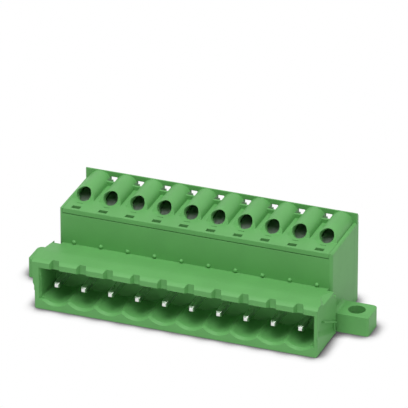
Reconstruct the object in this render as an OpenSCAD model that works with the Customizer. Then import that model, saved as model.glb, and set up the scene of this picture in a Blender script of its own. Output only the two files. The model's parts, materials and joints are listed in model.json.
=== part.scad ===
// Ten-pole pluggable terminal block: a pin header at the front, spring clamps behind it, two screw-down feet.
// X runs along the row of poles, +Y points from the mating face to the wire side, +Z is up.
// The origin is the middle of the footprint, on the base plane. Lengths are in millimetres.

/* [Poles] */
// Number of poles
poles = 10; // [2:1:12]
// Distance from pole to pole
pitch = 5.08; // [4.8:0.02:6]

/* [Header] */
// From the last pole to the outside of the header's right end
header_right = 3.54; // [3.3:0.02:4.2]
// From the first pole to the outside of the header's left end
header_left = 3.84; // [3.3:0.02:4.4]
// Depth of the header, from its mating face to the block
header_d = 9.55; // [9:0.05:11]
// Height of the header at its mating face
header_h = 9.1; // [9:0.05:9.6]
// Rise of the header's top behind its mating face
header_rise = 0.5; // [0.2:0.05:0.8]
// From the mating face to the level part of the header's top
crown_front = 0.9; // [0.6:0.05:1.4]
// From the mating face to where the header's top starts to fall
crown_back = 3.8; // [3:0.1:6]
// Fall of the header's top towards the block
header_fall = 0.95; // [0.4:0.05:1.2]
// Thickness of the header's right wall
header_wall = 0.85; // [0.6:0.01:1.2]
// Depth of the socket
socket_d = 7.45; // [6.8:0.05:7.6]
// Height of the socket's ceiling
socket_ceiling = 7.5; // [6.8:0.05:7.6]
// Height of the flat crests between the floor's troughs
socket_crest = 2.15; // [1.9:0.05:2.4]
// Radius of the troughs, about the pins
trough_r = 3.3; // [2.8:0.05:3.4]
// Depth of the lead-in round the floor and the sides
lead_d = 0.6; // [0.3:0.05:1]
// Flare of the lead-in
lead_flare = 0.35; // [0.2:0.05:0.6]
// Thickness of the top lip at the mating face
lip_t = 1; // [0.6:0.05:1.2]
// Depth of the lip's inner slope
lip_slope_d = 1.6; // [1:0.1:3]

// Reach of the left end's shoulder beyond the wall
shoulder_out = 0.44; // [0.3:0.02:1.2]
// Height at which the shoulder starts
shoulder_z = 4.5; // [4:0.1:6]
// Bevel on the header's outer edges
edge_bevel = 0.25; // [0.1:0.05:0.4]

/* [Keying notches] */
// Width of a notch at the mating face
notch_w = 1.84; // [1.4:0.02:2.2]
// Width of a notch at its inner end
notch_inner_w = 1.08; // [0.6:0.02:1.4]
// Depth of a notch
notch_d = 1; // [0.6:0.05:1.4]

/* [Block] */
// From an end pole to the outside of the block
block_end = 2.79; // [2.7:0.01:3.2]
// Depth of the block, from the header to its back face
block_d = 14.45; // [14.2:0.05:16]
// Height of the block's flat top
block_h = 15.5; // [15.4:0.05:17]
// Thickness of the block's front wall
front_wall = 0.85; // [0.6:0.05:1]
// Thickness of the block's end walls
end_wall = 0.65; // [0.5:0.01:0.8]
// Radius of the block's upright front corners
front_corner_r = 0.6; // [0.2:0.05:0.6]
// Radius of the block's upright back corners
back_corner_r = 0.9; // [0.4:0.05:1.2]
// Bevel along the upper edges of the end walls
end_bevel = 0.25; // [0.1:0.05:0.4]
// Thickness of the partitions between the poles
partition_t = 0.8; // [0.6:0.02:1]
// Thickness of the floor under the clamps
floor_t = 1.2; // [0.8:0.05:2]
// Diameter of the pips on the front wall
pip_d = 0.75; // [0.4:0.05:1]

/* [Feet] */
// Reach of a foot beyond the block
foot_reach = 6.5; // [5.6:0.05:8]
// Width of a foot along the depth of the part
foot_w = 5.2; // [4.8:0.05:6.4]
// Thickness of a foot
foot_t = 3.6; // [2:0.05:5]
// From the header's back to the foot
foot_set_back = 0.95; // [0.3:0.05:3]
// Radius of a foot's front corner
foot_front_r = 0.5; // [0.3:0.05:1.5]
// Radius of a foot's back corner
foot_back_r = 1; // [0.5:0.05:1.8]
// Radius of the fillet where a foot meets the block
foot_fillet = 0.7; // [0.3:0.05:1]
// Diameter of the fixing holes
foot_hole_d = 3.1; // [2.4:0.05:3.4]
// From the block's side to the middle of a fixing hole
foot_hole_x = 3.42; // [2.4:0.02:4]

/* [Cover] */
// Thickness of the top plate
plate_t = 1; // [0.8:0.05:1.2]
// Height of the raised back wall above the plate
back_rise = 1.85; // [1.6:0.05:2.2]
// Thickness of the raised back wall
back_t = 0.8; // [0.6:0.05:1.2]
// Thickness of the rear wall below it
rear_wall = 1.6; // [1.2:0.05:2]
// Outer radius of a clamp dome
dome_r = 2.1; // [1.95:0.05:2.2]
// Wall of a clamp dome
dome_wall = 0.45; // [0.3:0.01:0.5]
// Depth of the flat band in front of the domes
band_d = 4.35; // [4:0.05:5]
// Slope of the domes' front faces
dome_face_angle = 60; // [50:1:75]
// Diameter of the tool holes
tool_hole_d = 2.7; // [2:0.05:2.8]
// Rise of the tool holes' middle above the plate
tool_hole_rise = 0.9; // [0.8:0.05:1]
// Width of the probe slits
slit_w = 1.6; // [1:0.05:2.4]
// Depth of the probe slits
slit_d = 1; // [0.6:0.05:1.4]
// From the plate's front edge to the slits
slit_set_back = 0.65; // [0.4:0.05:1.4]
// Height of the bar above the windows
lintel_h = 0.92; // [0.6:0.02:1.1]
// Width of the windows
window_back_w = 1.4; // [0.8:0.05:1.6]
// Height of the fins that cross the gaps between the domes
fin_h = 0.8; // [0.4:0.05:1.2]
// Thickness of the fins
fin_t = 0.45; // [0.3:0.05:0.8]
// From the fins to the raised back wall
fin_gap = 1.5; // [1:0.05:2.5]

/* [Wire entries] */
// Diameter of a wire entry
wire_d = 3.2; // [2.6:0.05:3.3]
// Wall of the sleeves that lead the wires in
sleeve_wall = 0.4; // [0.3:0.01:0.45]
// Length of the sleeves inside the rear wall
sleeve_l = 1.7; // [1:0.05:2]
// Flare of the wire entries at the back face
wire_flare = 0.2; // [0:0.05:0.4]

/* [Grip rib] */
// Depth of the grip rib on the back face
rib_d = 1.25; // [0.8:0.05:2]
// Height of the rib's upper edge
rib_top = 8.9; // [8:0.05:9]
// Height of the rib's flat outer face
rib_face_h = 2.5; // [2:0.05:3.5]

/* [Contacts] */
// Width across the square pins
pin_w = 1; // [0.8:0.02:1.2]
// Height of the pins' axis
pin_z = 4.55; // [4.4:0.05:4.8]
// From the mating face to the pins' tips
pin_set_back = 1; // [0.5:0.05:2]
// Length of the pins' tapered tips
pin_tip_l = 0.35; // [0.2:0.05:0.8]
// Thickness of the upright leg and the current bar
bar_t = 0.8; // [0.6:0.05:1]
// Width of the current bar
bar_w = 2.6; // [2:0.05:3]
// Width of the bar's end, inside the spring's window
bar_end_w = 1.7; // [1.2:0.05:1.8]
// Room left for the spring's bow between the bar and the plate
bow_room = 1.7; // [1.65:0.01:1.8]

/* [Springs] */
// Thickness of the spring strip
strip_t = 0.3; // [0.2:0.01:0.32]
// Width of the spring strip
strip_w = 3; // [2.6:0.02:3.04]
// Width of the window in the spring's leg
window_w = 2.2; // [2:0.02:2.3]
// Outer radius of the spring's bow
bow_r = 0.8; // [0.7:0.01:0.82]
// From the upright leg to the middle of the bow
bow_y = 2; // [1.6:0.05:2.4]
// Reach of the long leg, from the bow's middle to the window leg
leg_reach = 6.4; // [6.2:0.05:6.6]
// Rise of the long leg's end above the plate's flat top
leg_rise = 0.25; // [0.1:0.01:0.3]
// Height of the clamping web below the window
web_h = 0.95; // [0.6:0.05:1.2]

/* [Clearances] */
// Gap between pieces that seat on each other
seat_gap = 0.03; // [0.02:0.01:0.06]
// Gap between the pins and their holes, on each side
pin_gap = 0.03; // [0.02:0.01:0.06]
// Height of the shadow line between the housing and the cover
seam = 0.12; // [0.05:0.01:0.2]

/* [Hidden] */

eps = 0.05;
far = 60;
row = (poles - 1) * pitch;
header_x0 = -row / 2 - header_left;
header_x1 = row / 2 + header_right;
socket_w = 2 * (header_x1 - header_wall);
block_w = row + 2 * block_end;
total_d = header_d + block_d + rib_d;
crown_h = header_h + header_rise;
header_back_h = crown_h - header_fall;

// places along the depth, from the mating face
block_back = header_d + block_d;
chamber_front = header_d + front_wall;
rear_inner = block_back - rear_wall;
cheek_front = rear_inner - sleeve_l + 0.5;
dome_front = header_d + band_d;
leg_y = chamber_front + seat_gap;
bow_mid = leg_y + bar_t + bow_y;
window_leg_y = bow_mid + leg_reach;

// heights
plate_bottom = block_h - plate_t;
dome_z = plate_bottom + 0.7;
back_top = block_h + back_rise;
bar_top = plate_bottom - bow_room;
bar_bottom = bar_top - bar_t;
bow_z = bar_top + seat_gap + bow_r;
leg_top = block_h + leg_rise;
web_top = bar_bottom - seat_gap;
window_top = leg_top - strip_t - 0.2;
wire_z = bar_bottom - 1.15;

plastic = "#4f9b56";
plastic_light = "#58a35d";
tin = "#c9cdc8";
steel = "#b4b8b8";

function pole_x(i) = (i - (poles + 1) / 2) * pitch;

// Moves a shape built from the mating face to the part's own origin.
module in_frame() {
    translate([0, -total_d / 2, 0]) children();
}

// A straight bar along X of length w, with the outline [[y, z], ...].
module along_x(w, outline) {
    translate([-w / 2, 0, 0]) rotate([90, 0, 90]) linear_extrude(w) polygon(outline);
}

// A box centred on x, from y0 to y1 and z0 to z1.
module block_at(x, w, y0, y1, z0, z1) {
    translate([x - w / 2, y0, z0]) cube([w, y1 - y0, z1 - z0]);
}

// A round bar along Y between two depths, with its own radius at each end.
module round_y(x, z, r0, r1, y0, y1) {
    translate([x, y0, z]) rotate([-90, 0, 0]) cylinder(r1 = r0, r2 = r1, h = y1 - y0, $fn = 48);
}

module at_poles() {
    for (i = [1:poles]) translate([pole_x(i), 0, 0]) children();
}

// ---- housing ----

// Side outline of the header: its top rises behind the mating face, runs level and falls to the block.
module header_outline() {
    polygon([
        [0, 0], [header_d + eps, 0], [header_d + eps, header_back_h],
        [crown_back + 1, crown_h - 0.1], [crown_back, crown_h], [crown_front, crown_h - 0.05],
        [crown_front / 2, crown_h - 0.2], [0, header_h]
    ]);
}

module header_solid() {
    translate([header_x0, 0, 0]) rotate([90, 0, 90]) linear_extrude(header_x1 - header_x0) header_outline();
}

// The left end's upper half stands out from the wall below it.
module left_shoulder() {
    length = 4.6;
    corner = 0.5;
    step = 0.2;
    intersection() {
        translate([header_x0 - shoulder_out, 0, 0]) rotate([90, 0, 90])
            linear_extrude(shoulder_out + eps) header_outline();
        translate([header_x0, 0, 0]) linear_extrude(far) polygon([
            [eps, 0], [-shoulder_out, 0], [-shoulder_out, length],
            [corner - shoulder_out, length + corner], [eps, length + corner]
        ]);
        translate([header_x0, 0, 0]) rotate([90, 0, 0]) translate([0, 0, -far]) linear_extrude(far) polygon([
            [eps, shoulder_z - 0.1], [0, shoulder_z - 0.1], [step - shoulder_out, shoulder_z + 0.5],
            [step - shoulder_out, shoulder_z + 1.8], [-shoulder_out, shoulder_z + 2], [-shoulder_out, far], [eps, far]
        ]);
    }
}

// The socket: a box with round troughs in its floor, one about each pin.
module socket() {
    inner_w = socket_w;
    lip_z = header_h - lip_t;
    intersection() {
        block_at(0, inner_w, -1, socket_d, 0, socket_ceiling);
        union() {
            block_at(0, inner_w, -1, socket_d, socket_crest, socket_ceiling + 1);
            at_poles() round_y(0, pin_z, trough_r, trough_r, -1, socket_d);
        }
    }
    // lead-in of the troughs
    intersection() {
        block_at(0, inner_w + lead_flare, -1, lead_d, 0, socket_ceiling);
        at_poles() round_y(0, pin_z, trough_r + lead_flare, trough_r, 0, lead_d);
    }
    // lead-in of the ceiling
    along_x(inner_w, [
        [-1, socket_ceiling - 1], [lip_slope_d, socket_ceiling - 1], [lip_slope_d, socket_ceiling],
        [0, lip_z], [-1, lip_z]
    ]);
    // lead-in of the sides
    for (side = [-1, 1]) scale([side, 1, 1])
        translate([inner_w / 2, 0, socket_crest - 0.3]) linear_extrude(lip_z - socket_crest + 0.3)
            polygon([[-1, -1], [lead_flare * 0.8, -1], [lead_flare * 0.8, 0], [0, lead_d], [-1, lead_d]]);
}

// A keying notch through the top lip, narrower at its inner end.
module notch() {
    translate([0, 0, socket_ceiling - 0.4]) linear_extrude(header_h) polygon([
        [-notch_w / 2, -1], [notch_w / 2, -1], [notch_w / 2, 0], [notch_inner_w / 2, notch_d],
        [-notch_inner_w / 2, notch_d], [-notch_w / 2, 0]
    ]);
}

// Everything on the far side of a plane, which passes through a point and faces along a normal.
module beyond(point, normal) {
    translate(point) rotate([0, acos(normal.z / norm(normal)), atan2(normal.y, normal.x)])
        translate([-far / 2, -far / 2, 0]) cube(far);
}

// The bevel along the top of the header's right end, which starts behind the mating face.
module right_edge_bevel() {
    low = header_back_h + 0.1;
    run = 1.15;
    rise = 0.64;
    start = [header_x1, 1.65, crown_h];
    below = [0, 1.7, low - crown_h];
    inward = [-run, 3.3, low + rise - crown_h];
    intersection() {
        beyond([header_x1, 0, low], [rise, 0, run]);
        beyond(start, cross(below, inward));
    }
}

// Small bevels on the header's upright front edges, and along the foot of its sides.
module header_corner_bevels() {
    for (end = [[header_x0, -1], [header_x1, 1]]) translate([end[0], 0, 0]) scale([end[1], 1, 1]) {
        translate([0, 0, -1]) linear_extrude(shoulder_z)
            polygon([[-edge_bevel, -1], [-edge_bevel, 0], [0, edge_bevel], [1, edge_bevel], [1, -1]]);
        translate([0, -1, 0]) rotate([-90, 0, 0]) linear_extrude(header_d + 1)
            polygon([[-edge_bevel, 1], [-edge_bevel, 0], [0, -edge_bevel], [1, -edge_bevel], [1, 1]]);
    }
}

// The groove in the header's right end: it falls towards the back, and its lower edge is a broad bevel.
groove_front = [0.45, 3.85];
groove_back = [9, 0.6];
groove_bevel_h = 0.9;
module right_groove() {
    depth = 0.4;
    run = groove_back - groove_front;
    front_h = groove_bevel_h + 0.35;
    intersection() {
        translate([header_x1, groove_front.x, groove_front.y]) rotate([atan2(run.y, run.x), 0, 0])
            translate([0, -2, 0]) rotate([90, 0, 0]) mirror([0, 0, 1]) linear_extrude(norm(run) + 4)
                polygon([[0, 0], [-depth, groove_bevel_h], [-depth, far], [1, far], [1, 0]]);
        along_x(far, [
            groove_front, groove_front + [0, front_h], ledge_front + [-0.7, 0.4], ledge_front,
            [groove_back.x, ledge_back.y], groove_back
        ]);
    }
}

// The thin ledge along the upper edge of the groove.
ledge_front = [2.95, 5.85];
ledge_back = [header_d, 2.6];
module right_ledge() {
    ledge_out = 0.3;
    ledge_t = 0.35;
    translate([header_x1 - header_wall + 0.1, 0, 0]) rotate([90, 0, 90])
        linear_extrude(header_wall - 0.1 + ledge_out)
            polygon([ledge_front, ledge_back, ledge_back - [0, ledge_t], ledge_front - [0, ledge_t]]);
}

module header() {
    difference() {
        union() {
            header_solid();
            left_shoulder();
        }
        right_edge_bevel();
        right_groove();
        header_corner_bevels();
    }
    right_ledge();
}

module foot() {
    y0 = header_d + foot_set_back;
    y1 = y0 + foot_w;
    x0 = block_w / 2;
    x1 = x0 + foot_reach;
    difference() {
        union() {
            translate([x0 - eps, y0 + foot_front_r, 0])
                cube([foot_reach + eps, foot_w - foot_front_r - foot_back_r, foot_t]);
            translate([x0 - eps, y0, 0]) cube([foot_reach - foot_front_r + eps, foot_w / 2, foot_t]);
            translate([x0 - eps, y0 + foot_w / 2, 0]) cube([foot_reach - foot_back_r + eps, foot_w / 2, foot_t]);
            translate([x1 - foot_front_r, y0 + foot_front_r, 0]) cylinder(r = foot_front_r, h = foot_t, $fn = 48);
            translate([x1 - foot_back_r, y1 - foot_back_r, 0]) cylinder(r = foot_back_r, h = foot_t, $fn = 48);
        }
        translate([x0 + foot_hole_x, y0 + foot_w / 2, -1]) cylinder(d = foot_hole_d, h = foot_t + 2, $fn = 64);
    }
    // fillet on top of the foot, along the block
    difference() {
        translate([x0 - eps, y0, foot_t - eps]) cube([foot_fillet + eps, foot_w, foot_fillet + eps]);
        translate([x0 + foot_fillet, y0 - 1, foot_t + foot_fillet])
            rotate([-90, 0, 0]) cylinder(r = foot_fillet, h = foot_w + 2, $fn = 48);
    }
}

// What is cut off an upright corner at (0, 0) that points to +X and -Y, to round it.
module corner_round(r) {
    difference() {
        translate([-r, -1, -1]) cube([r + 1, r + 1, far]);
        translate([-r, r, -2]) cylinder(r = r, h = far + 2, $fn = 48);
    }
}

// The clamp chambers, open towards the top and the back.
module chambers() {
    half_end = block_end - end_wall;
    half_mid = (pitch - partition_t) / 2;
    for (i = [1:poles]) {
        left = i == 1 ? half_end : half_mid;
        right = i == poles ? half_end : half_mid;
        translate([pole_x(i) - left, chamber_front, floor_t])
            cube([left + right, block_d, block_h]);
    }
}

// Ledges on the partitions that carry the edges of a current bar.
module bar_ledges() {
    top = bar_bottom - seat_gap;
    reach = 0.15;
    y0 = leg_y + bar_t + 0.1;
    length = 5.4;
    for (i = [1:poles]) for (side = [-1, 1]) {
        outer = (side < 0 && i == 1) || (side > 0 && i == poles) ? block_end - end_wall : (pitch - partition_t) / 2;
        inner = bar_w / 2 - reach;
        translate([pole_x(i), y0, 0]) scale([side, 1, 1]) rotate([90, 0, 0]) translate([0, 0, -length])
            linear_extrude(length) polygon([
                [outer + eps, top - 1.6], [outer + eps, top], [inner, top], [inner, top - 0.5]
            ]);
    }
}

// End view of an end wall, with a bevel along its outer upper edge; Y points down.
module end_outline() {
    polygon([
        [-end_wall, 0], [0, 0], [0, end_bevel - block_h], [-end_bevel, -block_h], [-end_wall, -block_h]
    ]);
}

module housing() {
    color(plastic) in_frame() {
        difference() {
            union() {
                header();
                // block, with end walls as high as the cover's plate
                block_at(0, block_w, header_d, cheek_front, 0, plate_bottom - seat_gap);
                block_at(0, block_w - 2 * end_wall, header_d, rear_inner, 0, plate_bottom - seat_gap);
                for (side = [-1, 1]) scale([side, 1, 1]) translate([block_w / 2, header_d, 0]) rotate([-90, 0, 0])
                    linear_extrude(cheek_front - header_d) end_outline();
                foot();
                mirror([1, 0, 0]) foot();
            }
            socket();
            at_poles() notch();
            chambers();
            for (side = [-1, 1]) scale([side, 1, 1])
                translate([block_w / 2, header_d, header_back_h]) corner_round(front_corner_r);
            // holes for the pins
            at_poles() block_at(
                0, pin_w + 2 * pin_gap, socket_d - 1, chamber_front + 1,
                pin_z - pin_w / 2 - pin_gap, pin_z + pin_w / 2 + pin_gap
            );
        }
        bar_ledges();
        // pips on the front wall
        at_poles() translate([0, header_d, header_back_h + pip_d / 2 + 0.05]) sphere(d = pip_d, $fn = 24);
    }
}

// ---- cover ----

// The dome over one clamp, with its sloping front face.
module dome() {
    lean = 1 / tan(dome_face_angle);
    intersection() {
        round_y(0, dome_z, dome_r, dome_r, dome_front - 1, rear_inner + eps);
        along_x(2 * dome_r + 1, [
            [dome_front - eps * lean, block_h - eps], [rear_inner + eps, block_h - eps],
            [rear_inner + eps, back_top], [dome_front + (back_top - block_h) * lean, back_top]
        ]);
    }
}

// The room inside one dome for the spring's long leg.
module dome_room() {
    r = dome_r - dome_wall;
    y0 = bow_mid;
    y1 = rear_inner - 0.6;
    // slot for the leg where it rises through the plate
    block_at(0, 2 * r, y0, dome_front + 1.6, plate_bottom - 1, plate_bottom + 0.55);
    intersection() {
        union() {
            round_y(0, dome_z, r, r, dome_front + 1.6, y1);
            block_at(0, 2 * r, dome_front + 1.6, y1, plate_bottom - 1, dome_z);
        }
        block_at(0, 2 * r, 0, y1, plate_bottom - 1, far);
    }
}

// The round hole through which a tool reaches the spring, square to the dome's front face.
module tool_hole() {
    hole_z = block_h + tool_hole_rise;
    hole_y = dome_front + tool_hole_rise / tan(dome_face_angle);
    translate([0, hole_y, hole_z]) rotate([-90 - (90 - dome_face_angle), 0, 0])
        translate([0, 0, -2]) cylinder(d = tool_hole_d, h = 5, $fn = 48);
}

// The windows of the raised back wall. Each one's sill falls towards the back.
module windows() {
    sill = block_h - 0.3;
    for (i = [1:poles - 1]) translate([pole_x(i) + pitch / 2, 0, 0])
        along_x(window_back_w, [
            [rear_inner - fin_gap, sill], [rear_inner, sill], [block_back, sill - 0.9], [block_back + 1, sill - 0.9],
            [block_back + 1, back_top - lintel_h], [rear_inner - fin_gap, back_top - lintel_h]
        ]);
}

// Thin fins across the gaps between the domes, in front of the windows.
module fins() {
    for (i = [1:poles - 1]) block_at(
        pole_x(i) + pitch / 2, pitch - dome_r, rear_inner - fin_gap - fin_t, rear_inner - fin_gap,
        block_h - eps, block_h + fin_h
    );
}

module cover() {
    plate_w = block_w - 2 * end_wall - 2 * seat_gap;
    rear_low = 0.6;
    top_t = 0.25;
    top_fall = 0.7;
    dash_y = header_d + 2.85;
    color(plastic_light) in_frame() difference() {
        union() {
            // top plate, with a shadow line along its lower front edge
            along_x(plate_w, [
                [header_d, plate_bottom + seam], [header_d + 0.3, plate_bottom + seam],
                [header_d + 0.3, plate_bottom], [rear_inner + eps, plate_bottom],
                [rear_inner + eps, block_h], [header_d, block_h]
            ]);
            // rear wall, its lower edge bevelled
            along_x(block_w, [
                [rear_inner, 0], [block_back - rear_low, 0], [block_back, rear_low],
                [block_back, block_h - 0.5], [rear_inner, block_h - 0.05]
            ]);
            // grip rib
            along_x(block_w - 2 * back_corner_r, [
                [rear_inner + eps, rib_top - rib_face_h - rib_d], [block_back, rib_top - rib_face_h - rib_d],
                [block_back + rib_d, rib_top - rib_face_h - 0.4 * rib_d],
                [block_back + rib_d, rib_top - 0.4 * rib_d], [block_back, rib_top], [rear_inner + eps, rib_top]
            ]);
            // cheeks beside the housing's end walls
            for (side = [-1, 1]) scale([side, 1, 1]) translate([block_w / 2, cheek_front + seat_gap, 0])
                rotate([-90, 0, 0]) linear_extrude(rear_inner + eps - cheek_front - seat_gap) intersection() {
                    end_outline();
                    translate([seat_gap - end_wall, -far]) square([end_wall, far]);
                }
            // raised back wall, its top bevelled towards the back
            along_x(block_w, [
                [rear_inner, plate_bottom], [rear_inner + back_t, plate_bottom], [rear_inner + back_t, back_top - top_fall],
                [rear_inner + top_t, back_top], [rear_inner, back_top]
            ]);
            at_poles() dome();
            fins();
            // sleeves for the wires
            at_poles() round_y(
                0, wire_z, wire_d / 2 + sleeve_wall, wire_d / 2 + sleeve_wall, rear_inner - sleeve_l, rear_inner + eps
            );
        }
        at_poles() {
            dome_room();
            tool_hole();
            round_y(0, wire_z, wire_d / 2, wire_d / 2, rear_inner - sleeve_l - 1, block_back + 1);
            round_y(0, wire_z, wire_d / 2, wire_d / 2 + wire_flare, block_back - wire_flare, block_back + eps);
            block_at(
                0, slit_w, header_d + slit_set_back, header_d + slit_set_back + slit_d, plate_bottom - 1, far
            );
            // shallow mark behind each slit
            block_at(0, slit_w * 0.7, dash_y - 0.1, dash_y + 0.1, block_h - 0.15, far);
        }
        windows();
        for (side = [-1, 1]) scale([side, 1, 1])
            translate([block_w / 2, block_back, -eps]) mirror([0, 1, 0]) corner_round(back_corner_r);
    }
}

// ---- contacts ----

// The pin with a tapered tip, pointing to the mating face.
module pin() {
    w = pin_w;
    tip_w = pin_w * 0.62;
    translate([0, pin_set_back, pin_z]) rotate([-90, 0, 0]) {
        translate([0, 0, pin_tip_l]) linear_extrude(leg_y + eps - pin_set_back - pin_tip_l) square(w, center = true);
        linear_extrude(pin_tip_l, scale = w / tip_w) square(tip_w, center = true);
    }
}

module contact(i) {
    bar_back = window_leg_y + 0.7;
    end_l = 1.5;
    neck_z = pin_z + 2.45;
    color(tin) in_frame() translate([pole_x(i), 0, 0]) {
        pin();
        // upright leg, narrow at the pin and as wide as the bar above it
        translate([0, leg_y + bar_t, 0]) rotate([90, 0, 0]) linear_extrude(bar_t) polygon([
            [-pin_w / 2, pin_z - pin_w / 2], [pin_w / 2, pin_z - pin_w / 2], [pin_w / 2, neck_z],
            [bar_w / 2, neck_z + 1.5], [bar_w / 2, bar_top], [-bar_w / 2, bar_top], [-bar_w / 2, neck_z + 1.5],
            [-pin_w / 2, neck_z]
        ]);
        // current bar, with a narrow end for the spring's window
        translate([0, 0, bar_bottom]) linear_extrude(bar_t) polygon([
            [-bar_w / 2, leg_y], [bar_w / 2, leg_y], [bar_w / 2, bar_back - end_l],
            [bar_end_w / 2, bar_back - end_l + 0.3], [bar_end_w / 2, bar_back],
            [-bar_end_w / 2, bar_back], [-bar_end_w / 2, bar_back - end_l + 0.3], [-bar_w / 2, bar_back - end_l]
        ]);
    }
}

// ---- springs ----

// Side outline of the strip: a bow, a long rising leg and an upright window leg.
module spring_outline() {
    reach = leg_reach;
    rise = leg_top - bow_z;
    slope = atan2(rise, reach) - asin(bow_r / norm([reach, rise]));
    tail = -108;
    inner_r = bow_r - strip_t;
    function spot(a, r) = [r * cos(a), r * sin(a)];
    n = 28;
    start = 90 + slope;
    end = 360 + tail + 20;
    outer = [for (k = [0:n]) spot(start + (end - start) * k / n, bow_r)];
    inner = [for (k = [n:-1:0]) spot(start + (end - start) * k / n, inner_r)];
    web_bottom = web_top - web_h - bow_z;
    polygon(concat(
        outer, inner,
        [
            [reach - strip_t, rise - strip_t - strip_t * tan(slope) - 0.02],
            [reach - strip_t, web_bottom], [reach, web_bottom], [reach, rise]
        ]
    ));
}

module spring(i) {
    color(steel) in_frame() translate([pole_x(i), bow_mid, bow_z]) difference() {
        translate([-strip_w / 2, 0, 0]) rotate([90, 0, 90]) linear_extrude(strip_w) spring_outline();
        block_at(0, window_w, leg_reach - strip_t - 0.5, leg_reach + 1, web_top - bow_z, window_top - bow_z);
    }
}

housing();
cover();
for (i = [1:poles]) {
    contact(i);
    spring(i);
}
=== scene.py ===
import json
from math import cos, radians, sin

import bpy
from mathutils import Matrix, Vector


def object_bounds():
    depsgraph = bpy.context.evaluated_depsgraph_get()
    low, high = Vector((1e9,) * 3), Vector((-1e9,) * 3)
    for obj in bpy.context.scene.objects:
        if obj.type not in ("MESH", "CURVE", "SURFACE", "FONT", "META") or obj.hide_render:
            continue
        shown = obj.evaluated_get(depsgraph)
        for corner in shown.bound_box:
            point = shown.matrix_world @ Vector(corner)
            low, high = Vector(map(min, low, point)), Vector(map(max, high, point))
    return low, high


MM = 0.001
GREEN = (0.133, 0.400, 0.118)
TIN = (0.80, 0.81, 0.79)
STEEL = (0.62, 0.63, 0.63)
ALONG_STRIP = (1.0, 0.1, 1.0)  # draws the grain out along Y

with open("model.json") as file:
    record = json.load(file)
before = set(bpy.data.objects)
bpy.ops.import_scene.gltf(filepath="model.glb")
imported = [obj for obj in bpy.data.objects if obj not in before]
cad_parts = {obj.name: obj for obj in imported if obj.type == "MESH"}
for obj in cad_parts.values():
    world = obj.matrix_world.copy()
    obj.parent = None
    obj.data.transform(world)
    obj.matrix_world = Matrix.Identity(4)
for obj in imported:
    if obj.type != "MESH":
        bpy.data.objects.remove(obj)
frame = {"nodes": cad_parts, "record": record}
cad_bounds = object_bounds()


# ---- materials ----

def new_material(name):
    """A material with its nodes, its links and its Principled shader."""
    material = bpy.data.materials.new(name)
    material.use_nodes = True
    nodes = material.node_tree.nodes
    return material, nodes, material.node_tree.links, nodes["Principled BSDF"]


def noise(nodes, links, coords, scale, detail):
    texture = nodes.new("ShaderNodeTexNoise")
    texture.inputs["Scale"].default_value = scale
    texture.inputs["Detail"].default_value = detail
    links.new(coords, texture.inputs["Vector"])
    return texture.outputs["Fac"]


def ramp(nodes, links, value, stops):
    """A colour for a value, from stops of (place, colour)."""
    node = nodes.new("ShaderNodeValToRGB")
    elements = node.color_ramp.elements
    while len(elements) < len(stops):
        elements.new(0.5)
    for element, (place, colour) in zip(elements, stops):
        element.position = place
        element.color = (*colour, 1.0)
    links.new(value, node.inputs["Fac"])
    return node.outputs["Color"]


def grey(level):
    return (level, level, level)


def scaled(colour, factor):
    return tuple(channel * factor for channel in colour)


def spread(nodes, links, value, low, high):
    """A value from 0 to 1, spread between two limits."""
    node = nodes.new("ShaderNodeMapRange")
    node.inputs["To Min"].default_value = low
    node.inputs["To Max"].default_value = high
    links.new(value, node.inputs["Value"])
    return node.outputs["Result"]


def surface_normal(nodes, links, height, strength, distance, edge):
    """A fine bump on top of softly rounded edges."""
    bevel = nodes.new("ShaderNodeBevel")
    bevel.samples = 6
    bevel.inputs["Radius"].default_value = edge
    bump = nodes.new("ShaderNodeBump")
    bump.inputs["Strength"].default_value = strength
    bump.inputs["Distance"].default_value = distance
    links.new(height, bump.inputs["Height"])
    links.new(bevel.outputs["Normal"], bump.inputs["Normal"])
    return bump.outputs["Normal"]


def moulded_plastic(name, colour, roughness):
    """Matt plastic with a faint cloud in its colour and a fine grain in its surface."""
    material, nodes, links, shader = new_material(name)
    coords = nodes.new("ShaderNodeTexCoord").outputs["Object"]
    cloud = noise(nodes, links, coords, 160.0, 4.0)
    tint = ramp(nodes, links, cloud, [(0.3, scaled(colour, 0.95)), (0.7, scaled(colour, 1.05))])
    links.new(tint, shader.inputs["Base Color"])
    grain = noise(nodes, links, coords, 4200.0, 2.0)
    links.new(spread(nodes, links, grain, roughness - 0.05, roughness + 0.05), shader.inputs["Roughness"])
    normal = surface_normal(nodes, links, grain, 0.12, 0.02 * MM, 0.12 * MM)
    links.new(normal, shader.inputs["Normal"])
    shader.inputs["IOR"].default_value = 1.42
    shader.inputs["Specular IOR Level"].default_value = 0.35
    return material


def bright_metal(name, colour, roughness, grain_stretch):
    """Plated or rolled metal, with a fine grain drawn out along the strip."""
    material, nodes, links, shader = new_material(name)
    coords = nodes.new("ShaderNodeTexCoord").outputs["Object"]
    mapping = nodes.new("ShaderNodeMapping")
    mapping.inputs["Scale"].default_value = grain_stretch
    links.new(coords, mapping.inputs["Vector"])
    grain = noise(nodes, links, mapping.outputs["Vector"], 2500.0, 3.0)
    tint = ramp(nodes, links, grain, [(0.3, scaled(colour, 0.92)), (0.7, colour)])
    links.new(tint, shader.inputs["Base Color"])
    links.new(spread(nodes, links, grain, roughness - 0.05, roughness + 0.07), shader.inputs["Roughness"])
    links.new(surface_normal(nodes, links, grain, 0.1, 0.01 * MM, 0.05 * MM), shader.inputs["Normal"])
    shader.inputs["Metallic"].default_value = 1.0
    return material


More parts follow.
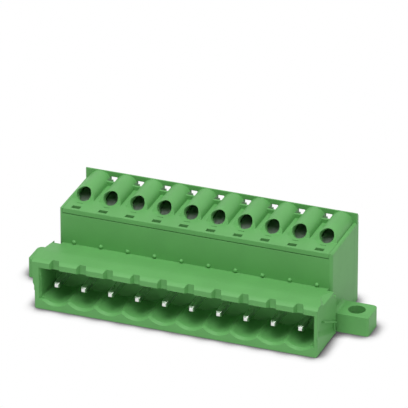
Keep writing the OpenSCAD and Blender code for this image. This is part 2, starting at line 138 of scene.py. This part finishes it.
materials = {
    "green_housing": moulded_plastic("housing_green", GREEN, 0.50),
    "green_cover": moulded_plastic("cover_green", GREEN, 0.48),
    "tinned_contact": bright_metal("tin_plate", TIN, 0.28, ALONG_STRIP),
    "spring_steel": bright_metal("spring_strip", STEEL, 0.34, ALONG_STRIP),
}
for row in frame["record"]["subparts"]:
    node = frame["nodes"][row["node"]]
    node.data.materials.clear()
    node.data.materials.append(materials[row["material_slot"]])


# ---- floor, light and camera ----

def pale_floor():
    """A white floor. The camera sees it white, with a painted contact shadow close to what stands on it:
    darkened by ambient occlusion, not cast by the lamps.
    """
    bpy.ops.mesh.primitive_plane_add(size=3.0, location=(0, 0, cad_bounds[0][2] - 0.02 * MM))
    floor = bpy.context.object
    floor.name = "floor"
    material = bpy.data.materials.new("floor_white")
    material.use_nodes = True
    nodes, links = material.node_tree.nodes, material.node_tree.links
    nodes.clear()
    output = nodes.new("ShaderNodeOutputMaterial")
    bounce = nodes.new("ShaderNodeBsdfDiffuse")
    bounce.inputs["Color"].default_value = (0.85, 0.85, 0.85, 1.0)
    # Camera and reflection rays see this emission instead of the lit floor; its grey, taken from ambient
    # occlusion, is a painted contact shadow near the object.
    seen = nodes.new("ShaderNodeEmission")
    shade = nodes.new("ShaderNodeAmbientOcclusion")
    shade.samples = 16
    shade.inputs["Distance"].default_value = 2.6 * MM
    painted_shadow_tone = ramp(nodes, links, shade.outputs["AO"], [
        (0.0, grey(0.0)), (0.5, grey(0.12)), (0.72, grey(0.45)), (0.86, grey(0.84)), (0.97, grey(1.0))
    ])
    links.new(painted_shadow_tone, seen.inputs["Color"])
    path = nodes.new("ShaderNodeLightPath")
    either = nodes.new("ShaderNodeMath")
    either.operation = "MAXIMUM"
    links.new(path.outputs["Is Camera Ray"], either.inputs[0])
    links.new(path.outputs["Is Glossy Ray"], either.inputs[1])
    mix = nodes.new("ShaderNodeMixShader")
    links.new(either.outputs["Value"], mix.inputs["Fac"])
    links.new(bounce.outputs["BSDF"], mix.inputs[1])
    links.new(seen.outputs["Emission"], mix.inputs[2])
    links.new(mix.outputs["Shader"], output.inputs["Surface"])
    floor.data.materials.append(material)


def white_world(strength):
    """Even white light from all round, seen as plain white by the camera and in reflections."""
    world = bpy.data.worlds.new("studio")
    bpy.context.scene.world = world
    world.use_nodes = True
    nodes, links = world.node_tree.nodes, world.node_tree.links
    background = nodes["Background"]
    background.inputs["Color"].default_value = (1.0, 1.0, 1.0, 1.0)
    path = nodes.new("ShaderNodeLightPath")
    seen = nodes.new("ShaderNodeMath")
    seen.operation = "MAXIMUM"
    links.new(path.outputs["Is Camera Ray"], seen.inputs[0])
    links.new(path.outputs["Is Glossy Ray"], seen.inputs[1])
    links.new(spread(nodes, links, seen.outputs["Value"], strength, 1.0), background.inputs["Strength"])


def soft_lamp(name, azimuth, elevation, distance, size, power, target):
    """A square area lamp, aimed at the object from an azimuth and an elevation."""
    light = bpy.data.lights.new(name, "AREA")
    light.size = size
    light.energy = power
    lamp = bpy.data.objects.new(name, light)
    bpy.context.scene.collection.objects.link(lamp)
    a, e = radians(azimuth), radians(elevation)
    away = Vector((sin(a) * cos(e), -cos(a) * cos(e), sin(e)))
    lamp.location = target + away * distance
    lamp.rotation_euler = away.to_track_quat("Z", "Y").to_euler()


def studio_camera():
    """The camera looks down on the block from its front right, through a long lens."""
    azimuth, elevation = radians(20.82), radians(27.594)
    ahead = Vector((-sin(azimuth) * cos(elevation), cos(azimuth) * cos(elevation), -sin(elevation)))
    right = Vector((cos(azimuth), sin(azimuth), 0.0))
    up = right.cross(ahead)
    aim = Vector((0.0, -2.625, 7.0)) * MM
    distance = 1.09785
    place = aim - ahead * distance
    # turned a little off the aim, so that the block stands where it should in the picture
    ahead = (ahead + right * 0.001337 + up * 0.011023).normalized()
    right = ahead.cross(up).normalized()
    up = right.cross(ahead)
    data = bpy.data.cameras.new("camera")
    data.lens = 549.67
    data.sensor_width = 36.0
    data.clip_start = 0.1
    data.clip_end = 10.0
    camera = bpy.data.objects.new("camera", data)
    bpy.context.scene.collection.objects.link(camera)
    turn = Matrix((right, up, -ahead)).transposed()
    camera.matrix_world = Matrix.Translation(place) @ turn.to_4x4()
    bpy.context.scene.camera = camera


middle = Vector((0.0, 0.0, 7.0)) * MM
pale_floor()
white_world(0.26)
soft_lamp("top_lamp", 0.0, 72.0, 0.6, 0.35, 2.95, middle)
soft_lamp("right_lamp", 75.0, 25.0, 0.8, 0.4, 0.75, middle)
studio_camera()
bpy.context.scene.view_settings.view_transform = "Standard"
